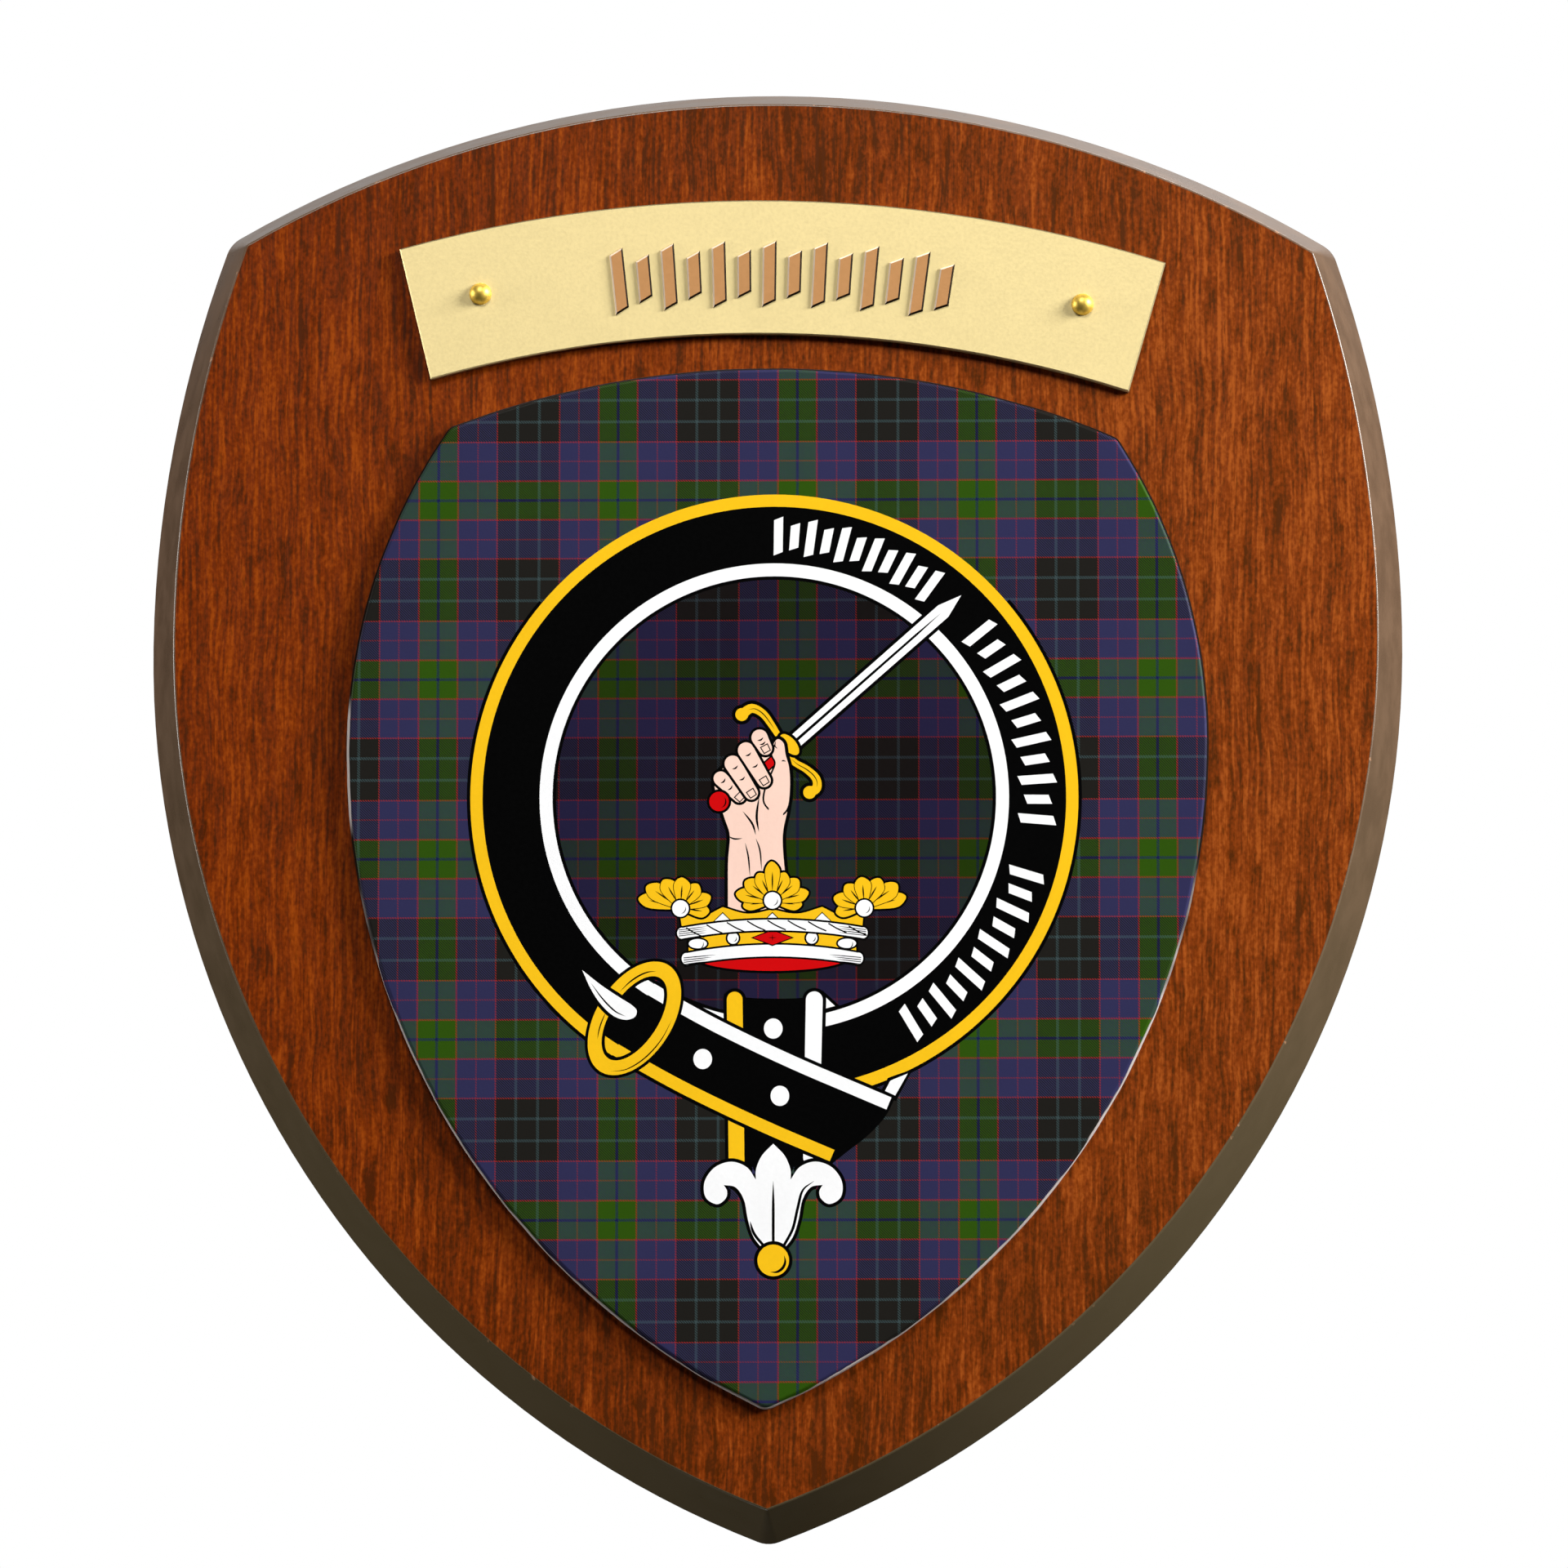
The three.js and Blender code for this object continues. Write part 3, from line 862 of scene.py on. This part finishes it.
def draw_coronet(art):
    """A plain coronet: a twisted roll, a jewelled gold band and a white foot over its lining."""
    x = -0.3
    thin = 0.24
    front = arc_points((x, -19.3), (9.1, 1.6), 180, 360, 30)
    behind = arc_points((x, -19.3), (9.1, 0.5), 0, 180, 30)[1:-1]
    art.inked("red", [*front, *behind], 0.3)
    scallops = corners(
        [(x - 11.2, -13.9), (x - 8.3, -14.2), (x - 6.0, -13.2)],
        [(x - 6.0, -13.2), (x - 3.0, -14.0), (x, -13.5)],
        [(x, -13.5), (x + 3.0, -14.0), (x + 6.0, -13.2)],
        [(x + 6.0, -13.2), (x + 8.3, -14.2), (x + 11.0, -13.9)],
        [(x + 11.0, -13.9), (x + 10.7, -16.6), (x + 10.2, -16.8)],
        [(x + 10.2, -16.8), (x, -15.8), (x - 10.2, -16.8)],
        [(x - 10.2, -16.8), (x - 10.7, -16.6), (x - 11.2, -13.9)],
    )
    art.inked("gold", scallops, thin)
    for peak in (-6.0, 0, 6.0):
        gap = [(x + peak + across, z) for across, z in [(-1.2, -15.1), (1.2, -15.1), (0, -13.95)]]
        art.inked("white", gap, 0.12)
    art.inked("gold", bent_band(x, 10.1, -15.9, -17.85, 1.25), thin)
    foot = bent_band(x, 10.4, -17.75, -19.15, 1.0)
    ends = [disc((x + side * 10.4, -19.4), (0.55, 0.68), 20) for side in (-1, 1)]
    art.group("white", [foot, *ends], thin)
    for side in (-1, 1):
        for i in range(4):
            z = -18.95 - 0.27 * i + 0.26
            reach = 3.9 - 0.45 * i
            ends = [(x + side * (10.7 - reach * t), z - 0.62 + 0.36 * t) for t in (0, 0.5, 1)]
            art.line(ends, 0.11, 1.0)
    jewel = [(x - 2.3, -16.9), (x, -17.75), (x + 2.3, -16.9), (x, -16.05)]
    art.inked("red", jewel, 0.16)
    art.line([(x - 0.5, -16.9), (x, -16.9), (x + 0.5, -16.9)], 0.1)
    art.line([(x, -17.3), (x, -16.9), (x, -16.5)], 0.1)
    for side in (-1, 1):
        draw_pearl(art, (x + side * 4.75, -16.95), 0.68)
        draw_pearl(art, (x + side * 9.0, -17.6), (1.1, 0.56))
    roll = bent_band(x, 11.0, -14.72, -16.0, 1.0)
    caps = [disc((x + side * 10.95, -16.33), (0.55, 0.66), 24) for side in (-1, 1)]
    art.group("white", [roll, *caps], thin)
    for i in range(9):
        start = -10.4 + 2.45 * i
        fall = (start / 11.0) ** 2
        steps = [(0, -14.8), (1.0, -15.4), (2.2, -15.95)]
        twist = [(x + start + across, z - fall) for across, z in steps]
        art.line(twist, 0.17, 1, 1)
    for side in (-1, 1):
        for i in range(4):
            z = -15.95 - 0.24 * i
            ends = [(x + side * (11.3 - 3.4 * t), z + 0.42 * t) for t in (0, 0.5, 1)]
            art.line(ends, 0.1, 1.0)
    lobes = [
        (14, 5.2, 1.7), (34, 4.9, 2.0), (188, 3.5, 1.5), (60, 4.0, 1.9), (160, 3.9, 1.6),
        (128, 3.6, 1.7), (94, 3.7, 1.9),
    ]
    facing = [(180 - degrees, long, wide) for degrees, long, wide in lobes]
    draw_leaf_spray(art, (x - 11.1, -13.3), facing)
    draw_leaf_spray(art, (x + 11.1, -13.3), lobes)
    draw_leaf_spray(art, (x, -12.5), [
        (-8, 3.6, 1.4), (188, 3.6, 1.4), (13, 4.5, 1.6), (167, 4.5, 1.6), (38, 4.1, 1.8),
        (142, 4.1, 1.8), (64, 3.8, 1.7), (116, 3.8, 1.7), (90, 4.8, 1.7),
    ])
    for pearl in [(x - 11.1, -13.35), (x + 11.1, -13.35), (x, -12.4)]:
        draw_pearl(art, pearl, 1.0)


def along_sword(points):
    """Points given along and across the sword, from its hilt."""
    return turned(points, SWORD_AIM, SWORD_HILT)


def draw_sword(art):
    """A plain straight sword, its blade over the strap, with a cross-guard of two curled arms."""
    art.inked("white", along_sword([
        (0.4, -0.86), (25.4, -0.93), (28.3, 0), (25.4, 0.93), (0.4, 0.86),
    ]))
    art.fill("black", along_sword([
        (0.4, -0.18), (21.0, -0.14), (25.1, 0), (21.0, 0.14), (0.4, 0.18),
    ]))
    upper = smooth([(0.55, 7.3), (-0.35, 8.75), (-1.45, 10.2), (-2.8, 10.85), (-4.0, 10.1)])
    lower = smooth([(1.3, 5.6), (2.3, 4.35), (3.8, 3.45), (4.95, 2.35), (5.05, 1.2), (4.2, 0.65)])
    for arm in (upper, lower):
        count = len(arm) - 1
        half = [0.34 + 0.26 * i / count for i in range(count + 1)]
        knob = disc(arm[-1], 0.78, 28)
        art.group("gold", [ribbon(arm, [-w for w in half], half), knob])
        art.line(arm[4:-4:4], 0.13)
    art.inked("gold", along_sword(disc((0.75, 0.15), (0.78, 1.55), 32)), 0.36)


def draw_hand(art):
    """A plain raised fist on its forearm, with the sword's grip behind its fingers."""
    arm = corners([
        (1.9, -15.2), (1.75, -12.5), (1.2, -8.8), (0.95, -4.6), (1.5, -1.6), (1.8, 0.9),
        (1.7, 3.4), (0.6, 4.9), (-1.6, 5.2), (-4.2, 4.6), (-6.6, 3.3), (-7.3, 1.4),
        (-6.1, -2.4), (-5.45, -4.6), (-5.66, -8.0), (-5.66, -15.2),
    ], [(-5.66, -15.2), (1.9, -15.2)])
    thumb = smooth([
        (0.4, -2.0), (1.5, -1.2), (1.82, 1.2), (1.72, 3.6), (1.3, 5.2), (1.05, 6.6), (0.35, 7.1),
        (-0.2, 6.4), (-0.3, 5.2), (0.1, 4.2), (-0.35, 2.9), (-1.0, 1.4), (-1.2, -0.6),
    ], closed=True)
    art.fill("black", grow(arm, art.pen))
    art.fill("black", grow(thumb, art.pen))
    art.fill("skin", arm)
    grip = along_sword([(-3.9, -0.45), (-1.2, -0.45), (-1.2, 0.45), (-3.9, 0.45)])
    art.inked("red", grip, 0.2)
    art.inked("skin", thumb, 0.22)
    art.fill("skin", [(-0.9, -2.6), (0.9, -2.6), (1.35, 0.6), (-0.4, 1.0)])
    art.line([(0.1, 6.9), (0.0, 6.3), (0.3, 5.95)], 0.16)
    art.line([(1.35, 4.4), (1.0, 4.5), (0.8, 4.4)], 0.16)
    knuckles = [
        ((-6.55, 2.35), (-4.3, 0.15)), ((-5.1, 4.15), (-2.85, 0.6)),
        ((-3.5, 5.75), (-1.3, 2.1)), ((-1.85, 7.3), (-1.15, 6.0)),
    ]
    for i, (knuckle, tip) in enumerate(knuckles):
        wide = 0.98 if i else 0.86
        art.inked("skin", capsule(knuckle, tip, wide, wide * 0.82), 0.32)
        across = (Vector(tip) - Vector(knuckle)).normalized()
        side = Vector((-across.y, across.x)) * 0.42
        for share in (0.12, 0.5):
            bent = Vector(knuckle).lerp(Vector(tip), share)
            art.line([bent - side, bent + across * 0.14, bent + side], 0.2)
        away = math.degrees(math.atan2(across.y, across.x))
        nail = [(-0.3, -0.4), (0.42, -0.36), (0.42, 0.36), (-0.3, 0.4)]
        art.inked("skin", turned(nail, away, tip), 0.13)
    pommel = (-6.75, -0.42)
    art.inked("red", disc(pommel, 1.18, 36), 0.3)
    art.line(arc_points(pommel, 0.82, -70, 40, 4), 0.16)
    creases = [
        ([(-3.9, -1.6), (-2.75, -3.1), (-2.3, -4.5)], 0.26),
        ([(-1.9, 0.2), (-2.2, -2.2), (-1.95, -4.1)], 0.3),
        ([(-5.7, -4.6), (-4.9, -4.95), (-3.9, -4.9)], 0.2),
        ([(-3.6, -5.4), (-3.2, -7.2), (-3.0, -9.6)], 0.2),
        ([(-2.3, -4.9), (-1.8, -6.4), (-1.6, -8.8)], 0.2),
    ]
    for line, width in creases:
        art.line(line, width)


def badge_artwork(badge):
    art = Artwork(badge.pen / MM)
    draw_strap(art, badge)
    draw_strap_strokes(art, badge)
    draw_sword(art)
    draw_hand(art)
    draw_coronet(art)
    draw_hanging_end(art)
    draw_tail(art, badge)
    draw_buckle(art, badge)
    draw_chape(art)
    return art.shapes


# Printed plate

def heater_shield(plate, inset, steps=40):
    """A heater shield from its top at (0, 0), drawn in by an inset, in millimetres."""
    height = (plate_high.z - plate_low.z) / MM
    half = (plate_high.x - plate_low.x) / MM / 2
    top, side, corner = plate.top_radius / MM, plate.side_radius / MM, plate.corner_radius / MM
    widest = plate.widest_drop / MM
    below = height - widest
    lower = (half ** 2 + below ** 2 - 2 * below * corner) / (2 * (half - corner))
    upper_x, lower_x = half - side, half - lower
    shoulder = circles_meet((0, -top), top - corner, (upper_x, -widest), side - corner)
    tip_z = corner - height
    top_angle = math.degrees(math.atan2(shoulder.y + top, shoulder.x))
    side_angle = math.degrees(math.atan2(shoulder.y + widest, shoulder.x - upper_x))
    tip_angle = math.degrees(math.atan2(tip_z + widest, -lower_x))
    left = Vector((-shoulder.x, shoulder.y))
    arcs = [
        ((lower_x, -widest), lower, tip_angle, 0, 3 * steps),
        ((upper_x, -widest), side, 0, side_angle, steps),
        (shoulder, corner, side_angle, top_angle, 6),
        ((0, -top), top, top_angle, 180 - top_angle, 2 * steps),
        (left, corner, 180 - top_angle, 180 - side_angle, 6),
        ((-upper_x, -widest), side, 180 - side_angle, 180, steps),
        ((-lower_x, -widest), lower, 180, 180 - tip_angle, 3 * steps),
        ((0, tip_z), corner, -180 - tip_angle, tip_angle, 6),
    ]
    outline = []
    for centre, radius, start, stop, count in arcs:
        outline.extend(arc_points(centre, radius - inset, start, stop, count)[:-1])
    return turned(outline, -math.degrees(plate.tilt))


def circles_meet(a, radius_a, b, radius_b):
    """The right-hand point where two circles cross."""
    a, b = Vector(a), Vector(b)
    gap = (b - a).length
    along = (radius_a ** 2 - radius_b ** 2 + gap ** 2) / (2 * gap)
    toward = (b - a) / gap
    across = math.copysign(math.sqrt(radius_a ** 2 - along ** 2), toward.y)
    return a + toward * along + Vector((toward.y, -toward.x)) * across


def partition(region, shapes):
    """Cut a flat region along every outline. Each cell comes with its topmost shape's number."""
    points, outlines = [], []
    for outline in [region, *shapes]:
        outlines.append(list(range(len(points), len(points) + len(outline))))
        points.extend(outline)
    spots, _, cells, came_from, _, owners = delaunay_2d_cdt(points, [], outlines, 1, 1e-5, True)
    rim = {}
    for i, sources in enumerate(came_from):
        for source in sources:
            if source < len(region):
                rim[source] = i
    filled = [0] * len(outlines)
    for cell, owner in zip(cells, owners):
        a, b, c = [spots[i] for i in cell]
        for number in owner:
            filled[number] += abs((b - a).cross(c - a)) / 2
    for number, outline in enumerate([region, *shapes]):
        if abs(filled[number] - signed_area(outline)) > 0.02 * signed_area(outline) + 0.01:
            raise RuntimeError(f"outline {number} crosses itself near {tuple(outline[0])}")
    inside = [(cell, max(owner)) for cell, owner in zip(cells, owners) if 0 in owner]
    return spots, inside, rim


def make_plate(plate, tartan, badge):
    """One flat sheet whose cells carry the inks, with its edge rolled over to the bare rim."""
    apex = plate_apex(plate) + Vector((plate.shift_x, plate.shift_z)) / MM
    turn = Matrix.Rotation(badge.turn, 2)
    middle = Vector((badge.centre_x, badge.centre_z)) / MM

    def ring(inset):
        return [wavy(p + apex, plate) for p in heater_shield(plate, inset - plate.spread / MM)]

    edge_round = plate.edge_round / MM
    shapes = badge_artwork(badge)
    on_board = [
        [turn @ Vector((p.x, p.y * badge.stretch)) + middle for p in outline]
        for _, outline in shapes
    ]
    inks = ["tartan", "dim_tartan", "black", "white", "gold", "red", "skin"]
    spots, cells, rim = partition(ring(edge_round), on_board)
    front = plate_low.y / MM
    bm = bmesh.new()
    sheet = [bm.verts.new((p.x * MM, front * MM, p.y * MM)) for p in spots]
    for cell, owner in cells:
        face = bm.faces.new([sheet[i] for i in cell])
        face.material_index = inks.index(shapes[owner - 1][0]) if owner else 0
        face.normal_update()
        if face.normal.y > 0:
            face.normal_flip()
    loop = [sheet[rim[i]] for i in range(len(ring(edge_round)))]
    foot = plate.foot / MM
    steps = 6
    profile = [
        (edge_round - (edge_round - foot) * math.sin(math.pi / 2 * i / steps),
         (edge_round - foot) * (1 - math.cos(math.pi / 2 * i / steps)))
        for i in range(1, steps + 1)
    ]
    thickness = board_low.y / MM - front
    profile += [
        (foot * 0.35, edge_round - foot * 0.8), (0, edge_round + foot * 0.2), (0, thickness),
    ]
    for inset, depth in profile:
        loop = roll_over(bm, loop, ring(inset), front + depth)
    bm.faces.new(loop)
    for vert in [v for v in bm.verts if not v.link_faces]:
        bm.verts.remove(vert)
    bmesh.ops.recalc_face_normals(bm, faces=bm.faces)
    finishes = [
        tartan_finish("tartan_print", tartan, badge, plate),
        tartan_finish("tartan_print_inside_strap", tartan, badge, plate, (0.53, 0.44, 0.50)),
        *[ink_finish(name + "_ink", getattr(badge, name), badge) for name in inks[2:]],
    ]
    keep(bm, "printed_plate", "tartan_plate", finishes, sharp=40)


def plate_apex(plate):
    """The middle of the plate's top edge, from the plaque's frame, in millimetres."""
    outline = heater_shield(plate, 0)
    top = max(p.y for p in outline)
    sides = max(p.x for p in outline), min(p.x for p in outline)
    return Vector(((plate_low.x + plate_high.x) / 2 / MM - sum(sides) / 2, plate_high.z / MM - top))


def wavy(point, plate):
    """A point of the plate's edge, moved a little by slow noise, mostly inward."""
    reach = plate.waviness / MM
    centre = Vector(((plate_low.x + plate_high.x) / 2, (plate_low.z + plate_high.z) / 2)) / MM
    out = (point - centre).normalized()
    around = math.atan2(out.y, out.x)
    where = Vector((math.cos(around), math.sin(around), 0)) * 9
    return point + out * reach * (noise.noise(where) + 0.6 * noise.noise(where * 2.7) - 0.9) * 0.6


def roll_over(bm, loop, outline, depth):
    """Extrude a closed loop of points onto the next outline, at a depth."""
    edges = [bm.edges.get((a, b)) for a, b in zip(loop, [*loop[1:], loop[0]])]
    made = bmesh.ops.extrude_edge_only(bm, edges=edges)["geom"]
    fresh = {v for v in made if isinstance(v, bmesh.types.BMVert)}
    following = []
    for old, place in zip(loop, outline):
        new = next(e.other_vert(old) for e in old.link_edges if e.other_vert(old) in fresh)
        new.co = (place.x * MM, depth * MM, place.y * MM)
        following.append(new)
    return following


# Brass strip

def make_strip(strip):
    """Bevel the raised strokes and give the strip and the strokes their finishes, with painted shade on
    the strip's sides that face up or right, and painted highlight and shade on the strokes' edges.
    """
    bm = merged_copy("nameplate")
    raised = strip_low.y
    tops = [
        face for face in bm.faces
        if face.normal.y < -0.99 and all(abs(v.co.y - raised) < LEVEL for v in face.verts)
    ]
    rims = list({edge for face in tops for edge in face.edges})
    bmesh.ops.bevel(
        bm, geom=rims, offset=strip.stroke_bevel, offset_type="OFFSET", segments=2, profile=0.5,
        affect="EDGES", material=-1,
    )
    stroke_rise = 0.3 * MM
    satin, bronze, painted_highlight_edge, painted_shade_edge, painted_shade_side = range(5)
    for face in bm.faces:
        middle = face.calc_center_median()
        # Sides of the strip that face up or right get darker brass as painted shade.
        cut = face.normal.y > -0.9 and max(face.normal.x, face.normal.z) > 0.3
        if middle.y > raised + stroke_rise - LEVEL:
            face.material_index = painted_shade_side if cut else satin
        elif face.normal.y < -0.99:
            face.material_index = bronze
        # Stroke sides facing right or down take painted shade; the others take painted highlight.
        elif face.normal.x > 0.1 or face.normal.z < -0.3:
            face.material_index = painted_shade_edge
        else:
            face.material_index = painted_highlight_edge
    finishes = [
        brass_finish("satin_brass", tuple(strip.brass), 0.5, 0.4, 0.35),
        brass_finish("bronze_strokes", tuple(strip.bronze), 0.45, 0.3, 0.3),
        # Painted highlight and painted shade for the strokes' edges.
        brass_finish("stroke_lit_edge", tuple(strip.stroke_painted_highlight), 0.4, 0.3, 0.3),
        brass_finish("stroke_dark_edge", tuple(strip.stroke_dark), 0.5, 0.0, 0.3, 0.05),
        # Darker brass for painted shade on the strip's upper and right sides.
        brass_finish("cut_brass", shade(strip.brass, 0.3), 0.5, 0.4, 0.35),
    ]
    keep(bm, "brass_strip", "nameplate", finishes, sharp=25)


def make_pins(strip):
    """Two pins, each spun from its own profile: a domed head, a straight shank and a point."""
    brass = brass_finish("polished_brass", tuple(strip.pin_brass), 0.46, 0.8, 0.5)
    for node in ("pin_left", "pin_right"):
        low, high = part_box(node)
        middle = (low + high) / 2
        head = strip.pin_head / 2
        shank = 0.6 * MM
        dome = (head ** 2 + strip.pin_rise ** 2) / (2 * strip.pin_rise)
        rim = math.acos(1 - strip.pin_rise / dome)
        seat = low.y + strip.pin_rise
        around = [rim * i / 12 for i in range(13)]
        profile = [(dome * math.sin(a), low.y + dome * (1 - math.cos(a))) for a in around]
        profile += [(head * 0.97, seat), (shank, seat), (shank, high.y - 2 * shank), (0, high.y)]
        bm = bmesh.new()
        points = [bm.verts.new((middle.x + radius, y, middle.z)) for radius, y in profile]
        lines = [bm.edges.new(pair) for pair in zip(points, points[1:])]
        bmesh.ops.spin(
            bm, geom=[*points, *lines], cent=(middle.x, 0, middle.z), axis=(0, 1, 0), angle=math.tau,
            steps=48, use_merge=True,
        )
        bmesh.ops.remove_doubles(bm, verts=bm.verts, dist=TOUCHING)
        bmesh.ops.recalc_face_normals(bm, faces=bm.faces)
        keep(bm, "domed_" + node, node, [brass], sharp=35)


# Studio. Each lamp has its place and size in metres and its power in watts.

LAMPS = [
    ("key", (1.20, -0.46, 0.46), 44, 0.6),
    ("front", (-0.15, -1.0, 0.95), 12, 0.5),
    ("left", (-1.3, -0.05, 0.10), 13, 0.6),
    ("below", (-0.10, 0.05, -0.80), 1.2, 0.35),
    ("behind_above", (0.0, 1.1, 0.42), 1.2, 0.9),
    ("back", (0.4, 0.8, 1.2), 8, 0.6),
]


def aimed_light(name, place, power, size):
    """A round soft lamp that faces the plaque's middle."""
    light = bpy.data.lights.new(name, "AREA")
    light.energy = power
    light.shape = "DISK"
    light.size = size
    lamp = bpy.data.objects.new(name, light)
    bpy.context.collection.objects.link(lamp)
    target = Vector((0, 0, -0.06))
    lamp.location = place
    lamp.visible_camera = False
    lamp.rotation_euler = (target - Vector(place)).to_track_quat("-Z", "Y").to_euler()


def make_camera(studio):
    """A long lens that stands a little below the plaque and looks up at it."""
    data = bpy.data.cameras.new("camera")
    data.sensor_width = 36
    data.lens = studio.focal_length
    data.clip_end = 20
    camera = bpy.data.objects.new("camera", data)
    bpy.context.collection.objects.link(camera)
    turn = (
        Matrix.Rotation(studio.camera_roll, 3, "Y")
        @ Matrix.Rotation(-studio.camera_pitch, 3, "X")
        @ Matrix.Rotation(-studio.camera_yaw, 3, "Z")
    )
    back = turn.transposed()
    aim = Vector((studio.aim_x, 0, studio.aim_z))
    upright = Matrix.Rotation(math.pi / 2, 3, "X")
    camera.matrix_world = Matrix.LocRotScale(
        aim + back @ Vector((0, -studio.camera_distance, 0)), (back @ upright).to_quaternion(), None
    )
    bpy.context.scene.camera = camera


def make_floor(studio):
    """A plain pale floor that glows a little. Like the surround, it is only seen and lights nothing."""
    bm = bmesh.new()
    bmesh.ops.create_grid(bm, x_segments=1, y_segments=1, size=4)
    bmesh.ops.translate(bm, verts=bm.verts, vec=(0, 0, board_low.z - studio.floor_drop))
    mesh = bpy.data.meshes.new("floor")
    bm.to_mesh(mesh)
    bm.free()
    f = Finish("pale_floor", Roughness=0.9, Emission_Strength=0.85)
    f.set(Base_Color=tuple(studio.floor_colour), Emission_Color=tuple(studio.floor_colour))
    f.material.cycles.emission_sampling = "NONE"
    mesh.materials.append(f.material)
    floor = bpy.data.objects.new("floor", mesh)
    floor.visible_diffuse = False
    floor.visible_glossy = False
    bpy.context.collection.objects.link(floor)


def make_world():
    """A white surround that is only seen. The lamps alone light the plaque."""
    world = bpy.data.worlds.new("studio")
    bpy.context.scene.world = world
    world.use_nodes = True
    world.node_tree.nodes["Background"].inputs["Color"].default_value = (1, 1, 1, 1)
    world.cycles_visibility.diffuse = False
    world.cycles_visibility.glossy = False


# Operators

class PLAQUE_OT_board(bpy.types.Operator):
    """Finish the board: veneer, painted edge, stained back"""

    bl_idname = "plaque.board"
    bl_label = "Veneered Board"

    def execute(self, context):
        make_board(context.scene.plaque_board)
        return {"FINISHED"}


class PLAQUE_OT_plate(bpy.types.Operator):
    """Print the shield plate with its tartan and badge"""

    bl_idname = "plaque.plate"
    bl_label = "Printed Plate"

    def execute(self, context):
        scene = context.scene
        make_plate(scene.plaque_plate, scene.plaque_tartan, scene.plaque_badge)
        return {"FINISHED"}


class PLAQUE_OT_strip(bpy.types.Operator):
    """Finish the arched brass strip and its raised strokes"""

    bl_idname = "plaque.strip"
    bl_label = "Brass Strip"

    def execute(self, context):
        make_strip(context.scene.plaque_strip)
        return {"FINISHED"}


class PLAQUE_OT_pins(bpy.types.Operator):
    """Spin the two domed brass pins"""

    bl_idname = "plaque.pins"
    bl_label = "Domed Pins"

    def execute(self, context):
        make_pins(context.scene.plaque_strip)
        return {"FINISHED"}


class PLAQUE_OT_studio(bpy.types.Operator):
    """Set up the camera, the floor and the lights"""

    bl_idname = "plaque.studio"
    bl_label = "Studio"

    def execute(self, context):
        studio = context.scene.plaque_studio
        make_camera(studio)
        make_floor(studio)
        make_world()
        for name, place, watts, size in LAMPS:
            aimed_light(name, place, watts, size)
        context.scene.view_settings.view_transform = "Standard"
        return {"FINISHED"}


class PLAQUE_PT_sidebar(bpy.types.Panel):
    """Sizes and colours of the plaque, and the steps that make it"""

    bl_idname = "PLAQUE_PT_sidebar"
    bl_label = "Shield Plaque"
    bl_space_type = "VIEW_3D"
    bl_region_type = "UI"
    bl_category = "Plaque"

    def draw(self, context):
        for name in SETTINGS:
            settings = getattr(context.scene, name)
            box = self.layout.box()
            box.label(text=name.removeprefix("plaque_").capitalize())
            for key in settings.__annotations__:
                box.prop(settings, key)
        for operator in STEPS:
            self.layout.operator(operator.bl_idname)


SETTINGS = {
    "plaque_board": BoardSettings,
    "plaque_plate": PlateSettings,
    "plaque_tartan": TartanSettings,
    "plaque_badge": BadgeSettings,
    "plaque_strip": StripSettings,
    "plaque_studio": StudioSettings,
}
STEPS = [PLAQUE_OT_board, PLAQUE_OT_plate, PLAQUE_OT_strip, PLAQUE_OT_pins, PLAQUE_OT_studio]


def register():
    for name, settings in SETTINGS.items():
        bpy.utils.register_class(settings)
        setattr(bpy.types.Scene, name, PointerProperty(type=settings))
    for cls in [*STEPS, PLAQUE_PT_sidebar]:
        bpy.utils.register_class(cls)


def unregister():
    for cls in [PLAQUE_PT_sidebar, *reversed(STEPS)]:
        bpy.utils.unregister_class(cls)
    for name, settings in reversed(SETTINGS.items()):
        delattr(bpy.types.Scene, name)
        bpy.utils.unregister_class(settings)


def main():
    register()
    bpy.ops.plaque.board()
    bpy.ops.plaque.plate()
    bpy.ops.plaque.strip()
    bpy.ops.plaque.pins()
    bpy.ops.plaque.studio()


if __name__ == "__main__":
    main()
